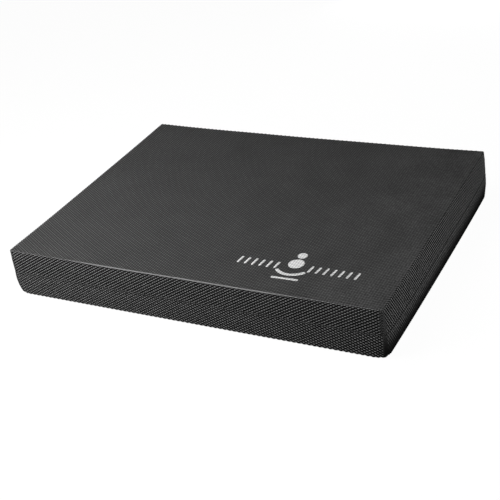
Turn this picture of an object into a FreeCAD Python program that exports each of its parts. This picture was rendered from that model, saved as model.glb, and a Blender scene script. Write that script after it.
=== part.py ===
import FreeCAD, Part

import math
import os

# A balance pad: a soft block to stand on, moulded in two equal halves that are glued face to face.
# Each half is a soft foam core in a thin, denser, non-slip skin. All lengths are in millimetres.
# The origin is the middle of the underside: X runs along the pad, Y from front to back, Z upwards.

LENGTH = 475.0
DEPTH = 360.0
THICKNESS = 60.0

CORNER_R = 3.0  # upright corners of the block, from the top down to the seam
FOOT_CORNER_R = 9.0  # the same corners at the underside, where the soft foam is rounder
TOP_EDGE_R = 2.0
BOTTOM_EDGE_R = 4.0
DRAFT = 1.0  # how far the top edge stands in from the seam, on each side
SKIN = 1.6

BOND = 0.3  # the glue film between the halves
BOND_INSET = 0.6  # the film stops this far inside the rim, which leaves a fine groove
SEAM_EDGE_R = 0.4  # each half's edge at that groove

# The printed mark lies near the front right corner: two balls, one on the other, over a rocker on a
# ground line, between two rows of dashes.
MARK_X = 114.5
MARK_FROM_FRONT = 54.0
INK = 0.2
DASHES_LEFT = 6
DASHES_RIGHT = 7
DASH_PITCH = 9.0
DASH_LENGTH = 13.0
DASH_WIDTH = 2.6
DASH_SLANT_DEG = 6.0
FIRST_DASH_X = 20.0  # from the middle of the mark
SMALL_BALL_R = 5.5
SMALL_BALL_RISE = 24.0
BALL_R = 9.0
BALL_RISE = 7.0
ROCKER_R = 22.0
ROCKER_WIDTH = 4.0
ROCKER_HALF_ANGLE_DEG = 45.0
GROUND_LENGTH = 32.0
GROUND_WIDTH = 3.2
GROUND_DROP = 23.0

SEAM_Z = THICKNESS / 2
MARK_Y = -DEPTH / 2 + MARK_FROM_FRONT
INK_Z = THICKNESS - INK
SAME_HEIGHT = 1e-4


def polar(radius, angle_deg, z=0.0):
    """A point on a circle about the Z axis."""
    angle = math.radians(angle_deg)
    return FreeCAD.Vector(radius * math.cos(angle), radius * math.sin(angle), z)


def rounded_outline(length, depth, corner_r, z):
    """A closed wire: a rectangle with round corners, centred on the Z axis."""
    corners = []
    for quarter, (side_x, side_y) in enumerate(((1, 1), (-1, 1), (-1, -1), (1, -1))):
        centre = FreeCAD.Vector(side_x * (length / 2 - corner_r), side_y * (depth / 2 - corner_r), z)
        turn = 90.0 * quarter
        corners.append([centre + polar(corner_r, turn + step) for step in (0.0, 45.0, 90.0)])
    edges = []
    for corner, following in zip(corners, corners[1:] + corners[:1]):
        edges.append(Part.Arc(*corner).toShape())
        edges.append(Part.LineSegment(corner[-1], following[0]).toShape())
    return Part.Wire(edges)


def edges_at(shape, z):
    """The edges that lie in the level plane at this height."""
    return [e for e in shape.Edges if max(abs(e.BoundBox.ZMin - z), abs(e.BoundBox.ZMax - z)) < SAME_HEIGHT]


def half_block(seam_z, face_z, draft, inset, face_corner_r, face_edge_r):
    """A solid from the seam to a flat face, with this much less on every side, and a round edge at the face."""
    at_seam = rounded_outline(LENGTH - 2 * inset, DEPTH - 2 * inset, CORNER_R - inset, seam_z)
    narrower = 2 * (inset + draft)
    at_face = rounded_outline(LENGTH - narrower, DEPTH - narrower, face_corner_r - inset, face_z)
    block = Part.makeLoft([at_seam, at_face], True, True)
    return block.makeFillet(face_edge_r, edges_at(block, face_z))


def half(seam_z, face_z, draft, face_corner_r, face_edge_r):
    """One half of the pad: its skin, open at the seam, and the core that fills it."""
    outward = 1 if face_z > seam_z else -1
    core = half_block(seam_z, face_z - outward * SKIN, draft, SKIN, face_corner_r, face_edge_r - SKIN)
    outside = half_block(seam_z, face_z, draft, 0.0, face_corner_r, face_edge_r)
    outside = outside.makeFillet(SEAM_EDGE_R, edges_at(outside, seam_z))
    return outside.cut(core), core


def bond_layer():
    """The glue film that joins the two halves, a little short of the rim."""
    length, depth = LENGTH - 2 * BOND_INSET, DEPTH - 2 * BOND_INSET
    outline = rounded_outline(length, depth, CORNER_R - BOND_INSET, SEAM_Z - BOND / 2)
    return Part.Face(outline).extrude(FreeCAD.Vector(0, 0, BOND))


def ink_solid(wire):
    """A closed wire at the level of the ink's underside, as a film of ink."""
    return Part.Face(wire).extrude(FreeCAD.Vector(0, 0, INK))


def stroke(length, width, turn_deg):
    """A film in the shape of a stroke with round ends. It runs along Y before it is turned."""
    end_r = width / 2
    straight = length / 2 - end_r
    right_low, right_high = FreeCAD.Vector(end_r, -straight, 0), FreeCAD.Vector(end_r, straight, 0)
    left_low, left_high = FreeCAD.Vector(-end_r, -straight, 0), FreeCAD.Vector(-end_r, straight, 0)
    wire = Part.Wire(
        [
            Part.LineSegment(right_low, right_high).toShape(),
            Part.Arc(right_high, FreeCAD.Vector(0, straight + end_r, 0), left_high).toShape(),
            Part.LineSegment(left_high, left_low).toShape(),
            Part.Arc(left_low, FreeCAD.Vector(0, -straight - end_r, 0), right_low).toShape(),
        ]
    )
    film = ink_solid(wire)
    film.rotate(FreeCAD.Vector(), FreeCAD.Vector(0, 0, 1), turn_deg)
    return film


def dash(x):
    """One dash, centred x from the middle of the mark."""
    film = stroke(DASH_LENGTH, DASH_WIDTH, -DASH_SLANT_DEG)
    film.translate(FreeCAD.Vector(x, 0, 0))
    return film


def ball(radius, rise):
    return Part.makeCylinder(radius, INK, FreeCAD.Vector(0, rise, 0))


def ground_line():
    film = stroke(GROUND_LENGTH, GROUND_WIDTH, 90.0)
    film.translate(FreeCAD.Vector(0, -GROUND_DROP, 0))
    return film


def rocker():
    """A curved band about the big ball, open upwards, with round ends."""
    middle_r = ROCKER_R
    end_r = ROCKER_WIDTH / 2
    start, end = -90.0 - ROCKER_HALF_ANGLE_DEG, -90.0 + ROCKER_HALF_ANGLE_DEG
    outer = [polar(middle_r + end_r, angle) for angle in (start, -90.0, end)]
    inner = [polar(middle_r - end_r, angle) for angle in (end, -90.0, start)]
    past_end = polar(middle_r, end) + polar(end_r, end + 90.0)
    past_start = polar(middle_r, start) + polar(end_r, start - 90.0)
    wire = Part.Wire(
        [
            Part.Arc(*outer).toShape(),
            Part.Arc(outer[-1], past_end, inner[0]).toShape(),
            Part.Arc(*inner).toShape(),
            Part.Arc(inner[-1], past_start, outer[0]).toShape(),
        ]
    )
    film = ink_solid(wire)
    film.translate(FreeCAD.Vector(0, BALL_RISE, 0))
    return film


def printed_mark():
    """The ink, flush with the top face."""
    films = [ball(SMALL_BALL_R, SMALL_BALL_RISE), ball(BALL_R, BALL_RISE), rocker(), ground_line()]
    for side, count in ((-1, DASHES_LEFT), (1, DASHES_RIGHT)):
        for place in range(count):
            films.append(dash(side * (FIRST_DASH_X + place * DASH_PITCH)))
    mark = Part.makeCompound(films)
    mark.translate(FreeCAD.Vector(MARK_X, MARK_Y, INK_Z))
    return mark


def write(node, shape):
    print(f"{node}: {len(shape.Solids)} solid(s), {shape.Volume / 1000:.1f} cm3, valid {shape.isValid()}")
    shape.exportStep(f"parts/{node}.step")


os.makedirs("parts", exist_ok=True)
mark = printed_mark()
upper_skin, upper_core = half(SEAM_Z + BOND / 2, THICKNESS, DRAFT, CORNER_R, TOP_EDGE_R)
lower_skin, lower_core = half(SEAM_Z - BOND / 2, 0.0, 0.0, FOOT_CORNER_R, BOTTOM_EDGE_R)
write("upper_skin", upper_skin.cut(mark))
write("upper_foam_core", upper_core)
write("bond_layer", bond_layer())
write("lower_foam_core", lower_core)
write("lower_skin", lower_skin)
write("printed_mark", mark)
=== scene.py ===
import math
from collections import namedtuple

import bpy
import numpy as np
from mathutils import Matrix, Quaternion, Vector
from mathutils.geometry import delaunay_2d_cdt


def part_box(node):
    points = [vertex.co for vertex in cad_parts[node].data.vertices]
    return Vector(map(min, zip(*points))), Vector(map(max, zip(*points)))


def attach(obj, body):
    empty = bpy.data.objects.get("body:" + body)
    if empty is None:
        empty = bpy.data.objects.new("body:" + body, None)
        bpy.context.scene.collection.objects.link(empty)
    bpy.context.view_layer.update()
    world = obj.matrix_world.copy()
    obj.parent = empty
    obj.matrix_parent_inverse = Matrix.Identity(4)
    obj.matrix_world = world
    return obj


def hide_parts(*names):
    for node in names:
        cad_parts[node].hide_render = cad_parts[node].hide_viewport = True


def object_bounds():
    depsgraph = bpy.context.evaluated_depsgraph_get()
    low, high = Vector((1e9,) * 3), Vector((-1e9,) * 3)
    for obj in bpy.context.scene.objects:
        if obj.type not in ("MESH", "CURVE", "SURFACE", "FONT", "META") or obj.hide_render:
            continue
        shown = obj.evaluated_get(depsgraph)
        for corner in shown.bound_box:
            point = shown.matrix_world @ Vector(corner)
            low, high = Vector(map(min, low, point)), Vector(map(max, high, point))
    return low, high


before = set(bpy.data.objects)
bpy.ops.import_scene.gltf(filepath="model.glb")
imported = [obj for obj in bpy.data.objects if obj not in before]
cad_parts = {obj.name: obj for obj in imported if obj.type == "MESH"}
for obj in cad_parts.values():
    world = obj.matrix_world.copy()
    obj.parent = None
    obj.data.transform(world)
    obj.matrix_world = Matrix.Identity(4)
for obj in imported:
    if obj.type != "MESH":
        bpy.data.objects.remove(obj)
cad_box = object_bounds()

# A foam balance pad. The shape functions work in millimetres in the frame of the CAD model, with the
# origin in the middle of the underside, and make_piece() writes metres. X runs along the pad, Y from
# front to back, Z upwards.

MM = 0.001

# ---------------------------------------------------------------- the block
CORNER_R = 3.0  # upright corners
TOP_EDGE_R = 1.0
BOTTOM_EDGE_R = 1.8
DRAFT = 1.0  # how far the top edge stands in from the seam, on each side
SKIN = 1.6
BOND_INSET = 0.6  # the glue film stops this far inside the rim
SEAM_EDGE_R = 0.4  # each half's edge at the seam

# ---------------------------------------------------------------- the embossed bumps
BUMP_PITCH = 3.46  # from bump to bump along a row
ROW_SPACING = math.cos(math.radians(30)) * BUMP_PITCH
BUMP_HEIGHT = 1.0
SAMPLES_ALONG = 4  # grid lines for each bump, along its row and across the rows
SAMPLES_ACROSS = 2
# The bumps are the sum of three waves. The first and the last slant across the rows, one each way, and the
# middle one runs square across them. These are their weights on the sides and on the flat faces.
SIDE_WAVES = (0.63, -0.02, 0.36)
FACE_WAVES = (0.52, 0.36, 0.10)
LOWEST_WAVE = -0.5  # the sum is cut off below this

# Shares of the bumps' height.
LEFT_RELIEF = 0.5  # left on the flat faces, at the pad's left and right ends
RIGHT_RELIEF = 0.1
SEAM_RELIEF = 0.5  # left at the seam
CORNER_RELIEF = 0.25  # left down the upright corners
TOP_EDGE_SMOOTHNESS = 0.92  # lost on the front's round edges, except near their ends
BOTTOM_EDGE_SMOOTHNESS = 0.4
EDGE_END = 0.6  # the share of half an edge that is near its end
EDGE_FADE = 0.5  # lengths over which these shares fade
SEAM_FADE = 0.8
CORNER_FADE = 1.0

# Where there are no bumps, the skin has the tone of this height of bump.
FACE_TONE = 0.56
# painted highlight: the front's round edges get this paler tone
EDGE_PAINTED_HIGHLIGHT_TONE = 0.8
SIDE_TONE = 0.56
FOOT_PAINTED_SHADE = 0.82  # painted shade: the share of the tone and its contrast that is lost at the foot of the right side
FOOT_PAINTED_SHADE_HEIGHT = 36.0
EDGE_PAINTED_SHADE = 0.6  # and the same painted shade on the round edges at the back and the left

# ---------------------------------------------------------------- the soft block's own shape
SIDE_BULGE = 0.3  # each half's sides swell between its edge and the seam
RIGHT_BOW = 1.0  # the foot of the right side bows outwards
RIGHT_BOW_LOST = 0.8  # the share of this bow that is lost at the top
RIGHT_BULGE = 2.5  # above its foot the right side swells more
BULGE_HEIGHT = 13.0
BULGE_POWER = 6  # the higher, the longer the swelling stays full towards the ends of the side
LEFT_BOW = 1.5  # the left side bows a little inwards
BACK_LIFT = 1.4  # the back of the top stands higher at its corners
SAG = 2.3  # and sinks between them
FRONT_SAG = 0.15  # the share of the sag that is left at the front
TUCK = 0.1  # the foot of each side draws in
TUCK_HEIGHT = 7.0
CORNER_PULL = 0.7  # the upright corners are drawn in
FOOT_PULL = 2.2  # and more towards the floor, where they get rounder
FOOT_REACH = 14.0
FOOT_HEIGHT = 22.0
# The top has slow waves: one lengthways times one crossways, and a weaker slanting one. The lengths are
# for one radian, and the starts are in radians.
WAVINESS = 0.25
SLOW_WAVE_LENGTHS = (61.0, 47.0)
SLOW_WAVE_STARTS = (1.3, 0.4)
SLANT_WAVE_LENGTHS = (29.0, 37.0)
SLANT_WAVE_SHARE = 0.5
# The rows of bumps wander on the flat faces. Each wander is a wave along one axis, swayed by a slower wave
# along the other: the first wave's length for one radian, the sway in radians and the slower wave's length.
ROW_WANDER = 0.8
WANDER_X = (23.0, 0.9, 41.0)
WANDER_Y = (19.0, 0.8, 37.0)
WANDER_POWER = 4  # the higher, the nearer to the rim the wander stays full

# ---------------------------------------------------------------- the meshes
CORNER_STEPS = 3
EDGE_STEPS = 4
SEAM_STEPS = 2
OUTLINE_STEPS = 4
FILL_SPACING = 12.0
FILL_CLEARANCE = 0.4  # the share of the spacing that inner points keep from the outline
INSIDE_ONLY = 1  # the triangulation's own code for keeping what lies inside the outline
CORE_SPACING = 6.0
CORE_SECTIONS = 7
CORE_BEVEL = 0.4
GLUE_SPACING = 3.0
GLUE_ROUND = 0.1
# The glue's rim is the sum of three waves: each has its size, its turn from point to point and its start.
GLUE_WAVES = ((0.08, 0.9, 0.0), (0.06, 2.3, 1.0), (0.05, 0.37, 0.0))
GAP = 0.05  # between pieces that touch
SAME_PLACE = 1e-6
NEARLY_ZERO = 1e-9

# ---------------------------------------------------------------- the printed mark
MARK_X = 114.5
MARK_FROM_FRONT = 54.0
INK = 0.12
INK_SPACING = 0.8
DASHES_LEFT = 6
DASHES_RIGHT = 7
DASH_PITCH = 9.0
DASH_LENGTH = 13.0
DASH_WIDTH = 2.6
DASH_SLANT_DEG = 6.0
FIRST_DASH_X = 20.0  # from the middle of the mark
SMALL_BALL_R = 5.5
SMALL_BALL_RISE = 24.0
SMALL_BALL_STEPS = 32
BALL_R = 9.0
BALL_RISE = 7.0
BALL_STEPS = 40
ROCKER_R = 22.0
ROCKER_WIDTH = 4.0
ROCKER_HALF_ANGLE_DEG = 45.0
ROCKER_STEPS = 32
GROUND_LENGTH = 32.0
GROUND_WIDTH = 3.2
GROUND_DROP = 23.0
END_STEPS = 8  # for the round end of a stroke

# ---------------------------------------------------------------- the camera and the studio
VIEW_AZIMUTH = 31.5
VIEW_ELEVATION = 30.4
VIEW_ROLL = -9.07
VIEW_DISTANCE = 1216.8
VIEW_LENS = 74.8
AIM_RIGHT = 25.2  # from the middle of the pad, at mid-height
AIM_FORWARD = 62.6
FLOOR_REACH = 6.0  # metres
FLOOR_PALENESS = 0.9
FLOOR_SHADOW_SHARE = 0.03  # how much of the floor's look comes from the light that falls on it
FLOOR_BOUNCE = 0.06  # how pale the floor is for the light that it throws onto the pad
WHITE_GLOW = 1.0  # the background that the camera sees
SKY_BRIGHTNESS = 0.06  # the same background, as a light
NARROW = 110.0  # the softboxes' spreads, in degrees
WIDE = 150.0

# ---------------------------------------------------------------- the materials
SKIN_SPECULAR = 0.15
SKIN_MOTTLE = 0.06  # unevenness of the skin's tone, in heights of a bump
SKIN_GRAIN = 0.14
INK_GRAIN = 0.3


def box_mm(node):
    low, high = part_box(node)
    return np.array(low) / MM, np.array(high) / MM


LOWER_LOW, LOWER_HIGH = box_mm("lower_skin")
UPPER_LOW, UPPER_HIGH = box_mm("upper_skin")
BOND_LOW, BOND_HIGH = box_mm("bond_layer")
LENGTH, DEPTH = (LOWER_HIGH - LOWER_LOW)[:2]
TOP = UPPER_HIGH[2]


# ---------------------------------------------------------------- shape
def smooth(share):
    """A share from 0 to 1 that leaves both ends gently."""
    share = np.clip(share, 0, 1)
    return share * share * (3 - 2 * share)


def wander(here, there, wave):
    """A wave along one axis, swayed by a slower wave along the other."""
    length, sway, slow_length = wave
    return np.sin(here / length + sway * np.sin(there / slow_length))


def side_shift(x, across, along, z):
    """How far the bows and the swelling of the left and right sides move a place along X."""
    up = z / TOP
    under_bulge = 1 - np.clip(1 - z / BULGE_HEIGHT, 0, 1) ** 2
    over_bulge = np.cos(math.pi / 2 * np.clip((z - BULGE_HEIGHT) / (TOP - BULGE_HEIGHT), 0, 1))
    bulge = RIGHT_BULGE * under_bulge * over_bulge * (1 - along**BULGE_POWER)
    right_bow = RIGHT_BOW * (1 - RIGHT_BOW_LOST * up) * (1 - along**2) + bulge
    return across**2 * np.where(x > 0, right_bow, LEFT_BOW * (1 - along**2))


def corner_pull(x, y, z):
    """How far the upright corners are drawn in."""
    in_corner_x = smooth(1 - (LENGTH / 2 - np.abs(x)) / FOOT_REACH)
    in_corner_y = smooth(1 - (DEPTH / 2 - np.abs(y)) / FOOT_REACH)
    foot = np.clip(1 - z / FOOT_HEIGHT, 0, 1) ** 2
    return (CORNER_PULL + FOOT_PULL * foot) * in_corner_x * in_corner_y


def drop_of_top(x, y, across, along):
    """How far the top lies below its flat level."""
    backwards = np.clip((along + 1) / 2, 0, 1) ** 2
    sag = SAG * (1 - across**2) * (FRONT_SAG + (1 - FRONT_SAG) * backwards) - BACK_LIFT * backwards
    lengthways = np.sin(x / SLOW_WAVE_LENGTHS[0] + SLOW_WAVE_STARTS[0])
    crossways = np.sin(y / SLOW_WAVE_LENGTHS[1] + SLOW_WAVE_STARTS[1])
    slanting = np.sin(x / SLANT_WAVE_LENGTHS[0] - y / SLANT_WAVE_LENGTHS[1])
    return sag + WAVINESS * (lengthways * crossways + SLANT_WAVE_SHARE * slanting)


def settle(points):
    """The soft block's own unevenness, as a smooth warp of the space that every piece lies in."""
    x, y, z = points.T
    across, along, up = x / (LENGTH / 2), y / (DEPTH / 2), z / TOP
    tuck = TUCK * np.clip(1 - z / TUCK_HEIGHT, 0, 1) ** 2
    pull = corner_pull(x, y, z)
    in_face = (1 - across**WANDER_POWER) * (1 - along**WANDER_POWER)
    wander_x = ROW_WANDER * in_face * wander(y, x, WANDER_X)
    wander_y = ROW_WANDER * in_face * wander(x, y, WANDER_Y)
    shift_x = side_shift(x, across, along, z) + wander_x - across * tuck - np.sign(x) * pull
    shift_y = wander_y - along * tuck - np.sign(y) * pull
    return np.stack([x + shift_x, y + shift_y, z - up * drop_of_top(x, y, across, along)], axis=1)


def relief(phases, on_face):
    """The height of the bumps, from 0 to 1, at these phases across and along the rows, from the sides (0)
    to the flat faces (1)."""
    across, along = phases
    waves = (np.cos(along - across), np.cos(2 * across), np.cos(along + across))
    height = 0.0
    for side, face, wave in zip(SIDE_WAVES, FACE_WAVES, waves):
        height = height + (side + (face - side) * on_face) * wave
    return np.clip((height - LOWEST_WAVE) / (1 - LOWEST_WAVE), 0, 1)


def stations(half_length, corner, spacing):
    """Grid lines along one axis: evenly spaced ones, and closer ones over each corner. Also gives the even
    spacing."""
    inner = half_length - corner
    count = 2 * round(inner / spacing)
    middle = np.linspace(-inner, inner, count + 1)
    end = np.linspace(inner, half_length, CORNER_STEPS + 1)[1:]
    return np.concatenate([-end[::-1], middle, end]), 2 * inner / count


class Lattice:
    """The rows of bumps on one half, fitted to its grid, in coordinates that unfold with the skin."""

    def __init__(self, step_x, step_y):
        self.origin_x = step_x / 2
        self.row_spacing = step_x * SAMPLES_ACROSS
        self.pitch = step_y * SAMPLES_ALONG

    def phases(self, u, v):
        """Where these places lie across and along the rows, in radians."""
        return math.pi * (u - self.origin_x) / self.row_spacing, 2 * math.pi * v / self.pitch


def point_rows(x, y, level, phases=(0.0, 0.0), share=0.0, tone=0.0, on_face=0.0):
    """A row for each point: its place in three columns, and then its paint, which is its two phases, its
    share of the relief, the tone it has without bumps and how much it belongs to the flat face."""
    columns = (x, y, level, *phases, share, tone, on_face)
    return np.column_stack([np.broadcast_to(column, len(x)) for column in columns])


def round_corners(x, y, half_x, half_y, corner):
    """Pulls the corners of a rectangular grid in to arcs."""
    over_x = np.clip(np.abs(x) - (half_x - corner), 0, None)
    over_y = np.clip(np.abs(y) - (half_y - corner), 0, None)
    reach = np.hypot(over_x, over_y)
    scale = np.where(reach > 0, np.maximum(over_x, over_y) / np.maximum(reach, NEARLY_ZERO), 1.0)
    new_x = np.sign(x) * (np.abs(x) - over_x * (1 - scale))
    new_y = np.sign(y) * (np.abs(y) - over_y * (1 - scale))
    return new_x, new_y


def outward_at_rim(x, y, half_x, half_y, corner):
    """Directions out of the rim: square to its straight sides, and radial round its corners."""
    over_x, over_y = np.abs(x) - (half_x - corner), np.abs(y) - (half_y - corner)
    in_corner = (over_x > -SAME_PLACE) & (over_y > -SAME_PLACE)
    on_x_side = over_x > over_y
    radial = np.stack([np.maximum(over_x, 0), np.maximum(over_y, 0)], axis=1)
    radial /= np.maximum(np.hypot(*radial.T), NEARLY_ZERO)[:, None]
    square = np.stack([on_x_side, ~on_x_side], axis=1).astype(float)
    signs = np.stack([np.sign(x), np.sign(y)], axis=1)
    return np.where(in_corner[:, None], radial, square) * signs


def rim_loop(columns, rows):
    """Indices of a grid's rim, once round, anticlockwise."""
    index = np.arange(columns * rows).reshape(columns, rows)
    return np.concatenate([index[:-1, 0], index[-1, :-1], index[:0:-1, -1], index[0, :0:-1]])


def grid_faces(columns, rows):
    """Quads between the points of a grid."""
    index = np.arange(columns * rows).reshape(columns, rows)
    corners = [index[:-1, :-1], index[1:, :-1], index[1:, 1:], index[:-1, 1:]]
    return np.stack(corners, axis=-1).reshape(-1, 4)


def belt_faces(loops):
    """Quads between successive loops of indices."""
    faces = []
    for above, below in zip(loops[:-1], loops[1:]):
        faces.append(np.stack([above, below, np.roll(below, -1), np.roll(above, -1)], axis=-1))
    return np.concatenate(faces)


# One level of a half's side: the distance out from the flat face's rim, the height above the seam, the two
# parts of the outward direction, the length along the surface, how much it belongs to the round edge, and
# the share of the relief that the nearness of the seam leaves.
SideRow = namedtuple("SideRow", "out level sideways up length on_edge relief")


def side_profile(height, edge_r, draft):
    """The section of a half's side, from the flat face's rim to the seam."""
    side_top, side_foot = height - edge_r, SEAM_EDGE_R
    rows = []
    for step in range(1, EDGE_STEPS + 1):
        angle = math.pi / 2 * step / EDGE_STEPS
        out, up = math.sin(angle), math.cos(angle)
        rows.append((edge_r * out, side_top + edge_r * up, out, up))
    count = round((side_top - side_foot) / (BUMP_PITCH / SAMPLES_ALONG))
    for step in range(1, count + 1):
        share = step / count
        swell = SIDE_BULGE * math.sin(math.pi * share)
        rows.append((edge_r + draft * share + swell, side_top + (side_foot - side_top) * share, 1.0, 0.0))
    for step in range(1, SEAM_STEPS + 1):
        angle = math.pi / 2 * step / SEAM_STEPS
        out, up = math.cos(angle), -math.sin(angle)
        rows.append((edge_r + draft - SEAM_EDGE_R * (1 - out), side_foot + SEAM_EDGE_R * up, out, up))
    out, level, sideways, up = np.array(rows).T
    length = np.cumsum(np.hypot(np.diff(out, prepend=0), np.diff(level, prepend=height)))
    on_edge = 1 - np.clip((length - math.pi / 2 * edge_r) / EDGE_FADE, 0, 1)
    before_seam = np.clip((level - SEAM_EDGE_R) / SEAM_FADE, 0, 1)
    kept = SEAM_RELIEF + (1 - SEAM_RELIEF) * before_seam
    return [SideRow(*row) for row in zip(out, level, sideways, up, length, on_edge, kept)]


def mirror_half(points, seam, outward):
    """From heights above the seam to the pad's own heights, for the upper or the lower half."""
    return np.stack([points[:, 0], points[:, 1], seam + outward * points[:, 2]], axis=1)


def fill(outline, spacing):
    """Triangles inside a closed outline, over its points and the points of a square grid. Gives points
    and triangles, and the outline's points come first."""
    low, high = outline.min(0), outline.max(0)
    counts = np.maximum(np.round((high - low) / spacing).astype(int), 1)
    xs = np.linspace(low[0], high[0], counts[0] + 1)[1:-1]
    ys = np.linspace(low[1], high[1], counts[1] + 1)[1:-1]
    grid = np.array([(x, y) for x in xs for y in ys]).reshape(-1, 2)
    inside = np.zeros(len(grid), bool)
    clear = np.full(len(grid), np.inf)
    for start, end in zip(outline, np.roll(outline, -1, axis=0)):
        run = end - start
        crosses = (start[1] > grid[:, 1]) != (end[1] > grid[:, 1])
        slope = run[0] / run[1] if run[1] else 0.0
        inside ^= crosses & (grid[:, 0] < start[0] + slope * (grid[:, 1] - start[1]))
        share = np.clip(((grid - start) @ run) / max(run @ run, NEARLY_ZERO), 0, 1)
        clear = np.minimum(clear, np.hypot(*(grid - start - share[:, None] * run).T))
    points = np.concatenate([outline, grid[inside & (clear > FILL_CLEARANCE * spacing)]])
    count = len(outline)
    edges = [(place, (place + 1) % count) for place in range(count)]
    found = delaunay_2d_cdt([Vector(point) for point in points], edges, [], INSIDE_ONLY, SAME_PLACE)
    return points, np.array(found[2])


class HalfSkin:
    """One half's skin: an open tray, embossed outside and smooth inside. Its heights are above the seam."""

    def __init__(self, low, high, outward, edge_r, edge_smoothness, draft):
        self.height = high[2] - low[2]
        self.seam = low[2] if outward > 0 else high[2]
        self.outward = outward
        self.edge_r = edge_r
        self.edge_smoothness = edge_smoothness
        self.draft = draft
        self.half_x = LENGTH / 2 - draft - edge_r
        self.half_y = DEPTH / 2 - draft - edge_r
        self.corner = CORNER_R - edge_r
        self.xs, step_x = stations(self.half_x, self.corner, ROW_SPACING / SAMPLES_ACROSS)
        self.ys, step_y = stations(self.half_y, self.corner, BUMP_PITCH / SAMPLES_ALONG)
        self.lattice = Lattice(step_x, step_y)
        self.face = self.flat_face()

    def lost_on_edge(self, x, y):
        """The share of the relief that the round edge loses, at these places on it: only at the front."""
        at_front = (y < 0) & (self.half_x - np.abs(x) > self.half_y - np.abs(y))
        return self.edge_smoothness * at_front * smooth((1 - np.abs(x) / self.half_x) / EDGE_END)

    def flat_face(self):
        """The points of the flat face, as a grid with round corners."""
        x, y = (axis.ravel() for axis in np.meshgrid(self.xs, self.ys, indexing="ij"))
        past_x = np.abs(x) > self.half_x - self.corner + SAME_PLACE
        past_y = np.abs(y) > self.half_y - self.corner + SAME_PLACE
        x, y = round_corners(x, y, self.half_x, self.half_y, self.corner)
        from_rim = np.minimum(self.half_x - np.abs(x), self.half_y - np.abs(y))
        on_face = np.clip(from_rim / EDGE_FADE, 0, 1)
        face_relief = LEFT_RELIEF + (RIGHT_RELIEF - LEFT_RELIEF) * smooth((1 + x / self.half_x) / 2)
        share = on_face * face_relief + (1 - on_face) * (1 - self.lost_on_edge(x, y))
        share = np.where(past_x & past_y, 0.0, share)
        # painted highlight: the front's round edge is paler
        tone = FACE_TONE + (EDGE_PAINTED_HIGHLIGHT_TONE - FACE_TONE) * (1 - on_face) * (y < 0)
        phases = self.lattice.phases(x, y)
        level = self.height - BUMP_HEIGHT * share * (1 - relief(phases, on_face))
        return point_rows(x, y, level, phases, share, tone, on_face)

    def level_at(self, x, y):
        """The height of the embossed face over these places, between the grid's points."""
        levels = self.face[:, 2].reshape(len(self.xs), len(self.ys))
        column = np.clip(np.searchsorted(self.xs, x) - 1, 0, len(self.xs) - 2)
        row = np.clip(np.searchsorted(self.ys, y) - 1, 0, len(self.ys) - 2)
        over = (x - self.xs[column]) / (self.xs[column + 1] - self.xs[column])
        up = (y - self.ys[row]) / (self.ys[row + 1] - self.ys[row])
        near = levels[column, row] * (1 - over) + levels[column + 1, row] * over
        far = levels[column, row + 1] * (1 - over) + levels[column + 1, row + 1] * over
        return near * (1 - up) + far * up

    def side_layers(self, rim, away):
        """The outside of the sides: a loop of points for each level, from the flat face's rim to the seam."""
        clear = np.array((self.half_x, self.half_y)) - self.corner - np.abs(rim)
        to_corner = np.where(np.abs(away[:, 1]) > np.abs(away[:, 0]), clear[:, 0], clear[:, 1])
        corner_share = CORNER_RELIEF + (1 - CORNER_RELIEF) * np.clip(to_corner / CORNER_FADE, 0, 1)
        lost_on_edge = self.lost_on_edge(*rim.T)
        at_right = np.clip(away[:, 0], 0, 1)
        at_back_or_left = np.clip(away[:, 1] - away[:, 0], 0, 1)
        layers = []
        for row in side_profile(self.height, self.edge_r, self.draft):
            phases = self.lattice.phases(*(rim + away * row.length).T)
            share = corner_share * row.relief * (1 - row.on_edge * lost_on_edge)
            sunk = BUMP_HEIGHT * share * (1 - relief(phases, 0.0))
            place = rim + away * (row.out - sunk * row.sideways)[:, None]
            # painted highlight: the front's round edges are paler where their bumps are smoothed
            tone = SIDE_TONE + (EDGE_PAINTED_HIGHLIGHT_TONE - SIDE_TONE) * row.on_edge * lost_on_edge
            above_floor = self.seam + self.outward * row.level
            # painted shade: the tone and its contrast fade towards the foot of the right side
            foot_painted_shade = FOOT_PAINTED_SHADE * at_right * smooth(1 - above_floor / FOOT_PAINTED_SHADE_HEIGHT)
            # painted shade: the round edges at the back and the left are darker
            edge_painted_shade = EDGE_PAINTED_SHADE * row.on_edge * at_back_or_left
            kept = (1 - foot_painted_shade) * (1 - edge_painted_shade)
            layers.append(point_rows(*place.T, row.level - sunk * row.up, phases, share * kept, tone * kept))
        return layers

    def inner_layers(self, rim, away):
        """The smooth inside: a loop at the seam, a loop at the ceiling, and the points that fill the
        ceiling. Also gives the ceiling's triangles."""
        ceiling_out = self.edge_r - SKIN
        ceiling_level = self.height - SKIN
        at_seam = rim + away * (ceiling_out + self.draft)
        at_ceiling = rim + away * ceiling_out
        ceiling, triangles = fill(at_ceiling, FILL_SPACING)
        layers = [point_rows(*at_seam.T, 0.0)]
        layers += [point_rows(*place.T, ceiling_level) for place in (at_ceiling, ceiling[len(rim) :])]
        return layers, triangles

    def mesh(self):
        """Points, faces, and each point's paint."""
        rim = rim_loop(len(self.xs), len(self.ys))
        rim_place = self.face[rim, :2]
        away = outward_at_rim(*rim_place.T, self.half_x, self.half_y, self.corner)
        inner, triangles = self.inner_layers(rim_place, away)
        layers = [self.face, *self.side_layers(rim_place, away), *inner]

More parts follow.
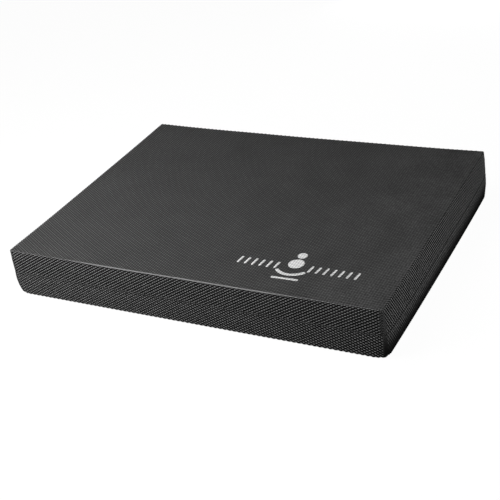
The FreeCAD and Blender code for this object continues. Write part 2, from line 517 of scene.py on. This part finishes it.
        starts = np.cumsum([0] + [len(layer) for layer in layers])
        loops = [rim] + [np.arange(start, start + len(rim)) for start in starts[1:-2]]
        ceiling_index = np.concatenate([loops[-1], np.arange(starts[-2], starts[-1])])
        quads = np.concatenate([grid_faces(len(self.xs), len(self.ys)), belt_faces(loops)])
        triangles = ceiling_index[triangles][:, ::-1]
        if self.outward < 0:
            quads, triangles = quads[:, ::-1], triangles[:, ::-1]
        everything = np.concatenate(layers)
        points = settle(mirror_half(everything[:, :3], self.seam, self.outward))
        return points, [quads, triangles], everything[:, 3:]


# ---------------------------------------------------------------- plain closed pieces
def dense(outline, spacing):
    """A closed outline with more points along its longer runs."""
    points = []
    for start, end in zip(outline, np.roll(outline, -1, axis=0)):
        count = max(1, round(math.dist(start, end) / spacing))
        points += [start + (end - start) * step / count for step in range(count)]
    return np.array(points)


def arc_points(centre, radius, start_deg, end_deg, steps):
    angles = np.radians(np.linspace(start_deg, end_deg, steps + 1))
    return np.array(centre) + radius * np.stack([np.cos(angles), np.sin(angles)], axis=1)


def rounded_outline(half_x, half_y, radius, spacing):
    """A rectangle with round corners, anticlockwise."""
    corners = []
    for quarter, (side_x, side_y) in enumerate(((1, 1), (-1, 1), (-1, -1), (1, -1))):
        centre = (side_x * (half_x - radius), side_y * (half_y - radius))
        corners.append(arc_points(centre, radius, 90 * quarter, 90 * quarter + 90, OUTLINE_STEPS))
    return dense(np.concatenate(corners), spacing)


def outward_of(outline):
    """Unit directions out of a closed anticlockwise outline at its points."""
    run = np.roll(outline, -1, axis=0) - np.roll(outline, 1, axis=0)
    out = np.stack([run[:, 1], -run[:, 0]], axis=1)
    return out / np.hypot(*out.T)[:, None]


def block(outline, sections):
    """A closed block: the outline moved out by each section's amount, at its height. The first and the
    last section are filled, and the sections run upwards."""
    away = outward_of(outline)
    layers = []
    for out, level in sections:
        layers.append(np.column_stack([outline + away * out, np.full(len(outline), level)]))
    loops = [np.arange(len(outline)) + place * len(outline) for place in range(len(layers))]
    start = len(outline) * len(layers)
    caps = []
    for layer, loop, order in ((layers[0], loops[0], -1), (layers[-1], loops[-1], 1)):
        points, triangles = fill(layer[:, :2], FILL_SPACING)
        extra = points[len(outline) :]
        layers.append(np.column_stack([extra, np.full(len(extra), layer[0, 2])]))
        index = np.concatenate([loop, np.arange(start, start + len(extra))])
        caps.append(index[triangles][:, ::order])
        start += len(extra)
    return np.concatenate(layers), [belt_faces(loops[::-1]), *caps]


def half_core(low, high, outward, draft):
    """The foam that fills one half's skin."""
    inset = SKIN + GAP
    height = high[2] - low[2] - inset
    seam = low[2] if outward > 0 else high[2]
    outline = rounded_outline(LENGTH / 2 - inset, DEPTH / 2 - inset, CORNER_R, CORE_SPACING)
    levels = np.linspace(GAP, height - CORE_BEVEL, CORE_SECTIONS)
    sections = [(-draft * level / height, level) for level in levels]
    sections.append((-draft - CORE_BEVEL, height))
    points, faces = block(outline, sections)
    if outward < 0:
        faces = [face[:, ::-1] for face in faces]
    return settle(mirror_half(points, seam, outward)), faces


def glue_film():
    """The bond layer: a thin film whose rim squeezes out unevenly."""
    half_x, half_y = LENGTH / 2 - BOND_INSET, DEPTH / 2 - BOND_INSET
    outline = rounded_outline(half_x, half_y, CORNER_R - BOND_INSET, GLUE_SPACING)
    place = np.arange(len(outline))
    ragged = sum(size * np.sin(place * turn + start) for size, turn, start in GLUE_WAVES)
    outline = outline + outward_of(outline) * ragged[:, None]
    low, high = BOND_LOW[2] + GAP, BOND_HIGH[2] - GAP
    lower_third, upper_third = (2 * low + high) / 3, (low + 2 * high) / 3
    sections = [(-GLUE_ROUND, low), (0.0, lower_third), (0.0, upper_third), (-GLUE_ROUND, high)]
    points, faces = block(outline, sections)
    return settle(points), faces


# ---------------------------------------------------------------- the printed mark
def stroke(length, width, turn_deg):
    """The outline of a stroke with round ends. It runs along Y before it is turned."""
    end_r = width / 2
    straight = length / 2 - end_r
    back_end = arc_points((0, straight), end_r, 0, 180, END_STEPS)
    front_end = arc_points((0, -straight), end_r, 180, 360, END_STEPS)
    turn = math.radians(turn_deg)
    spin = np.array(((math.cos(turn), math.sin(turn)), (-math.sin(turn), math.cos(turn))))
    return np.concatenate([back_end, front_end]) @ spin


def rocker():
    """The outline of a curved band, open upwards, with round ends."""
    centre = (0, BALL_RISE)
    end_r = ROCKER_WIDTH / 2
    first, last = -90 - ROCKER_HALF_ANGLE_DEG, -90 + ROCKER_HALF_ANGLE_DEG
    left_end, right_end = arc_points(centre, ROCKER_R, first, last, 1)
    parts = [
        arc_points(centre, ROCKER_R + end_r, first, last, ROCKER_STEPS),
        arc_points(right_end, end_r, last, last + 180, END_STEPS)[1:-1],
        arc_points(centre, ROCKER_R - end_r, last, first, ROCKER_STEPS),
        arc_points(left_end, end_r, first + 180, first + 360, END_STEPS)[1:-1],
    ]
    return np.concatenate(parts)


def mark_outlines():
    """The outlines of the mark's films, at their places on the pad."""
    outlines = [
        arc_points((0, SMALL_BALL_RISE), SMALL_BALL_R, 0, 360, SMALL_BALL_STEPS)[:-1],
        arc_points((0, BALL_RISE), BALL_R, 0, 360, BALL_STEPS)[:-1],
        rocker(),
        stroke(GROUND_LENGTH, GROUND_WIDTH, 90.0) - (0, GROUND_DROP),
    ]
    for side, count in ((-1, DASHES_LEFT), (1, DASHES_RIGHT)):
        for place in range(count):
            x = side * (FIRST_DASH_X + place * DASH_PITCH)
            outlines.append(stroke(DASH_LENGTH, DASH_WIDTH, -DASH_SLANT_DEG) + (x, 0))
    return [outline + (MARK_X, MARK_FROM_FRONT - DEPTH / 2) for outline in outlines]


def printed_mark(skin):
    """The ink: thin closed films that follow the bumps. Gives points, faces, and each point's paint."""
    rows, faces = [], []
    start = 0
    for outline in mark_outlines():
        outline = dense(outline, INK_SPACING)
        places, triangles = fill(outline, INK_SPACING)
        phases = skin.lattice.phases(*places.T)
        on_skin = skin.seam + skin.level_at(*places.T)
        for level in (on_skin + INK, on_skin):
            rows.append(point_rows(*places.T, level, phases, share=1.0, tone=1.0, on_face=1.0))
        count = len(places)
        loop = np.arange(len(outline))
        walls = belt_faces([loop, loop + count])
        film = [triangles, triangles[:, ::-1] + count, walls[:, [0, 1, 2]], walls[:, [0, 2, 3]]]
        faces += [face + start for face in film]
        start += 2 * count
    everything = np.concatenate(rows)
    return settle(everything[:, :3]), [np.concatenate(faces)], everything[:, 3:]


# ---------------------------------------------------------------- objects
def store(mesh, name, vectors):
    """A vector for each point of the mesh, which a material can read."""
    stored = mesh.attributes.new(name, "FLOAT_VECTOR", "POINT")
    stored.data.foreach_set("vector", vectors.astype(np.float32).ravel())


def make_piece(name, points, faces, material, paint=None):
    """A mesh object from points in millimetres and arrays of quads or triangles. The paint has the columns
    of point_rows() after the place."""
    mesh = bpy.data.meshes.new(name)
    sizes = np.concatenate([np.full(len(group), group.shape[1]) for group in faces])
    corners = np.concatenate([group.ravel() for group in faces])
    mesh.vertices.add(len(points))
    mesh.vertices.foreach_set("co", (points * MM).astype(np.float32).ravel())
    mesh.loops.add(len(corners))
    mesh.loops.foreach_set("vertex_index", corners.astype(np.int32))
    mesh.polygons.add(len(sizes))
    mesh.polygons.foreach_set("loop_start", (np.cumsum(sizes) - sizes).astype(np.int32))
    mesh.polygons.foreach_set("use_smooth", np.ones(len(sizes), bool))
    mesh.update(calc_edges=True)
    mesh.validate()
    if paint is not None:
        store(mesh, "bump_phases", paint[:, :3])
        store(mesh, "bump_kind", np.column_stack([paint[:, 3:], np.zeros(len(paint))]))
    mesh.materials.append(material)
    piece = bpy.data.objects.new(name, mesh)
    bpy.context.scene.collection.objects.link(piece)
    return piece


def adopt(piece, node):
    """Lets a piece stand for a CAD node."""
    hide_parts(node)
    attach(piece, "root")


# ---------------------------------------------------------------- materials
def grey(value):
    return (value, value, value, 1.0)


class Shading:
    """A material with its Principled shader, and short ways to add nodes to it."""

    def __init__(self, name, roughness):
        self.material = bpy.data.materials.new(name)
        self.material.use_nodes = True
        self.tree = self.material.node_tree
        self.shader = self.tree.nodes["Principled BSDF"]
        self.shader.inputs["Roughness"].default_value = roughness

    def node(self, kind, inputs=(), **settings):
        """A new node. Its inputs are other nodes' outputs or plain values."""
        node = self.tree.nodes.new(kind)
        for name, value in settings.items():
            setattr(node, name, value)
        for key, value in dict(inputs).items():
            if isinstance(value, bpy.types.NodeSocket):
                self.tree.links.new(value, node.inputs[key])
            else:
                node.inputs[key].default_value = value
        return node

    def math(self, operation, *values, clamp=False):
        node = self.node("ShaderNodeMath", enumerate(values), operation=operation, use_clamp=clamp)
        return node.outputs[0]

    def place(self):
        """The place on the piece, in metres."""
        return self.node("ShaderNodeTexCoord").outputs["Object"]

    def noise(self, scale, detail=2.0):
        inputs = {"Vector": self.place(), "Scale": scale, "Detail": detail}
        return self.node("ShaderNodeTexNoise", inputs).outputs["Fac"]

    def flecks(self, amount, scale, detail=2.0):
        """Noise about zero, this much from its lowest to its highest."""
        return self.math("MULTIPLY_ADD", self.noise(scale, detail), amount, -amount / 2)

    def tone(self, factor, *stops):
        """A grey from stops of (place, value)."""
        node = self.node("ShaderNodeValToRGB", {"Fac": factor})
        elements = node.color_ramp.elements
        while len(elements) < len(stops):
            elements.new(0.5)
        for element, (place, value) in zip(elements, stops):
            element.position = place
            element.color = grey(value)
        return node.outputs["Color"]

    def bump_height(self):
        """The height of the bumps, from 0 to 1, as relief() has it. Where the relief is lost, it goes over
        to the tone that the skin has without bumps."""
        phases = self.node("ShaderNodeAttribute", attribute_name="bump_phases").outputs["Vector"]
        across, along, share = self.node("ShaderNodeSeparateXYZ", {"Vector": phases}).outputs
        angles = (
            self.math("SUBTRACT", along, across),
            self.math("MULTIPLY", across, 2.0),
            self.math("ADD", along, across),
        )
        kind = self.node("ShaderNodeAttribute", attribute_name="bump_kind").outputs["Vector"]
        tone, on_face = self.node("ShaderNodeSeparateXYZ", {"Vector": kind}).outputs[:2]
        total = -LOWEST_WAVE
        for side, face, angle in zip(SIDE_WAVES, FACE_WAVES, angles):
            weight = self.math("MULTIPLY_ADD", on_face, face - side, side)
            total = self.math("MULTIPLY_ADD", self.math("COSINE", angle), weight, total)
        height = self.math("DIVIDE", total, 1 - LOWEST_WAVE, clamp=True)
        return self.math("MULTIPLY_ADD", self.math("SUBTRACT", height, tone), share, tone)

    def paint(self, colour):
        self.tree.links.new(colour, self.shader.inputs["Base Color"])

    def emboss(self, *layers):
        """Bump maps on top of each other, each a height, its strength and its depth in metres."""
        normal = None
        for height, strength, depth in layers:
            inputs = {"Height": height, "Strength": strength, "Distance": depth}
            if normal:
                inputs["Normal"] = normal
            normal = self.node("ShaderNodeBump", inputs).outputs["Normal"]
        self.tree.links.new(normal, self.shader.inputs["Normal"])


def skin_material():
    """Dense embossed foam skin: dark between the bumps, as painted shade, and paler and a little worn on
    their tops.
    """
    look = Shading("embossed_skin", roughness=0.62)
    look.shader.inputs["Specular IOR Level"].default_value = SKIN_SPECULAR
    height = look.bump_height()
    mottle = look.flecks(SKIN_MOTTLE, scale=28.0, detail=4.0)
    grain = look.flecks(SKIN_GRAIN, scale=420.0)
    uneven_height = look.math("ADD", height, look.math("ADD", mottle, grain))
    # painted shade: the ramp takes the skin near black between the bumps
    look.paint(look.tone(uneven_height, (0.25, 0.0005), (0.50, 0.012), (0.80, 0.14), (1.0, 0.20)))
    look.emboss((height, 0.5, 0.0003), (look.noise(3500.0), 0.3, 0.00008))
    return look.material


def ink_material():
    """Matt screen-print ink: nearly white on the bumps, thinner between them."""
    look = Shading("print_ink", roughness=0.7)
    uneven_height = look.math("ADD", look.bump_height(), look.flecks(INK_GRAIN, scale=900.0))
    look.paint(look.tone(uneven_height, (0.05, 0.2), (0.45, 0.48), (1.0, 0.6)))
    look.emboss((look.noise(2600.0), 0.3, 0.0001))
    return look.material


def foam_material():
    """Closed-cell foam, where it is cut or seen from inside."""
    look = Shading("closed_cell_foam", roughness=0.85)
    cells = look.node("ShaderNodeTexVoronoi", {"Vector": look.place(), "Scale": 1400.0}).outputs["Distance"]
    look.paint(look.tone(cells, (0.0, 0.02), (0.6, 0.05), (1.0, 0.07)))
    look.emboss((cells, 0.6, 0.0003))
    return look.material


def glue_material():
    """Dark glue, a little uneven."""
    look = Shading("glue_film", roughness=0.5)
    look.paint(look.tone(look.noise(400.0, detail=3.0), (0.2, 0.008), (0.8, 0.025)))
    look.emboss((look.noise(900.0), 0.4, 0.0001))
    return look.material


# ---------------------------------------------------------------- the pieces
def build_pad():
    skin, foam = skin_material(), foam_material()
    halves = {
        "upper": (UPPER_LOW, UPPER_HIGH, 1, TOP_EDGE_R, TOP_EDGE_SMOOTHNESS, DRAFT),
        "lower": (LOWER_LOW, LOWER_HIGH, -1, BOTTOM_EDGE_R, BOTTOM_EDGE_SMOOTHNESS, 0.0),
    }
    shapes = {}
    for side, (low, high, outward, edge_r, edge_smoothness, draft) in halves.items():
        shapes[side] = HalfSkin(low, high, outward, edge_r, edge_smoothness, draft)
        points, faces, paint = shapes[side].mesh()
        piece = make_piece(f"{side}_skin_embossed", points, faces, skin, paint)
        adopt(piece, f"{side}_skin")
        core = make_piece(f"{side}_core_foam", *half_core(low, high, outward, draft), foam)
        adopt(core, f"{side}_foam_core")
    adopt(make_piece("bond_film", *glue_film(), glue_material()), "bond_layer")
    points, faces, paint = printed_mark(shapes["upper"])
    adopt(make_piece("mark_ink", points, faces, ink_material(), paint), "printed_mark")


# ---------------------------------------------------------------- the studio
def floor_material():
    """White to the camera with a hint of shadow, and darker for the light that it throws back."""
    look = Shading("pale_floor", roughness=1.0)
    seen = look.node("ShaderNodeLightPath").outputs["Is Camera Ray"]
    lit = look.node("ShaderNodeBsdfDiffuse", {"Color": grey(FLOOR_PALENESS)}).outputs[0]
    glow = look.node("ShaderNodeEmission", {"Color": grey(1.0), "Strength": WHITE_GLOW}).outputs[0]
    dim = look.node("ShaderNodeBsdfDiffuse", {"Color": grey(FLOOR_BOUNCE)}).outputs[0]
    pale = look.node("ShaderNodeMixShader", {0: FLOOR_SHADOW_SHARE, 1: glow, 2: lit}).outputs[0]
    whole = look.node("ShaderNodeMixShader", {0: seen, 1: dim, 2: pale}).outputs[0]
    look.tree.links.new(whole, look.tree.nodes["Material Output"].inputs["Surface"])
    look.tree.nodes.remove(look.shader)
    return look.material


def studio_floor():
    mesh = bpy.data.meshes.new("studio_floor")
    sides = ((-1, -1), (1, -1), (1, 1), (-1, 1))
    mesh.from_pydata([(x * FLOOR_REACH, y * FLOOR_REACH, 0) for x, y in sides], [], [(0, 1, 2, 3)])
    mesh.materials.append(floor_material())
    floor = bpy.data.objects.new("studio_floor", mesh)
    bpy.context.scene.collection.objects.link(floor)


def softbox(name, place, aim, size, spread, power):
    """A rectangular light that the camera doesn't see, in metres, degrees and watts."""
    light = bpy.data.lights.new(name, "AREA")
    light.shape = "RECTANGLE"
    light.size, light.size_y = size
    light.spread = math.radians(spread)
    light.energy = power
    holder = bpy.data.objects.new(name, light)
    holder.location = place
    holder.rotation_euler = (Vector(aim) - Vector(place)).to_track_quat("-Z", "Y").to_euler()
    holder.visible_camera = False
    bpy.context.scene.collection.objects.link(holder)


def lights():
    """Soft light from the left, the right and above, and some from low behind the pad for its back side."""
    softbox("key", (-0.6, -0.64, 0.48), (-0.15, -0.12, 0.03), size=(0.6, 0.4), spread=NARROW, power=4.7)
    softbox("fill", (1.1, -0.25, 0.32), (0.2, -0.1, 0.05), size=(0.6, 0.3), spread=NARROW, power=3.0)
    softbox("back", (-0.05, 0.95, 0.03), (-0.02, 0.18, 0.03), size=(0.4, 0.05), spread=NARROW, power=1.2)
    softbox("top", (-0.35, -0.25, 0.75), (-0.1, -0.1, 0.05), size=(0.7, 0.7), spread=WIDE, power=6.8)


def sky():
    """Plain white behind everything, and weaker as a light."""
    world = bpy.data.worlds.new("studio")
    world.use_nodes = True
    nodes, links = world.node_tree.nodes, world.node_tree.links
    seen = nodes.new("ShaderNodeLightPath").outputs["Is Camera Ray"]
    strength = nodes.new("ShaderNodeMath")
    strength.operation = "MULTIPLY_ADD"
    links.new(seen, strength.inputs[0])
    strength.inputs[1].default_value = WHITE_GLOW - SKY_BRIGHTNESS
    strength.inputs[2].default_value = SKY_BRIGHTNESS
    nodes["Background"].inputs["Color"].default_value = grey(1.0)
    links.new(strength.outputs[0], nodes["Background"].inputs["Strength"])
    bpy.context.scene.world = world


def camera():
    azimuth, elevation = math.radians(VIEW_AZIMUTH), math.radians(VIEW_ELEVATION)
    level = math.cos(elevation)
    back = Vector((math.sin(azimuth) * level, -math.cos(azimuth) * level, math.sin(elevation)))
    middle = (cad_box[0] + cad_box[1]) / 2
    aim = middle + Vector((AIM_RIGHT, -AIM_FORWARD, 0)) * MM
    lens = bpy.data.cameras.new("camera")
    lens.lens = VIEW_LENS
    holder = bpy.data.objects.new("camera", lens)
    holder.location = aim + back * VIEW_DISTANCE * MM
    holder.rotation_mode = "QUATERNION"
    upright = (-back).to_track_quat("-Z", "Y")
    holder.rotation_quaternion = upright @ Quaternion((0, 0, 1), math.radians(VIEW_ROLL))
    bpy.context.scene.collection.objects.link(holder)
    bpy.context.scene.camera = holder


bpy.context.scene.view_settings.view_transform = "Standard"
camera()
studio_floor()
sky()
lights()
build_pad()
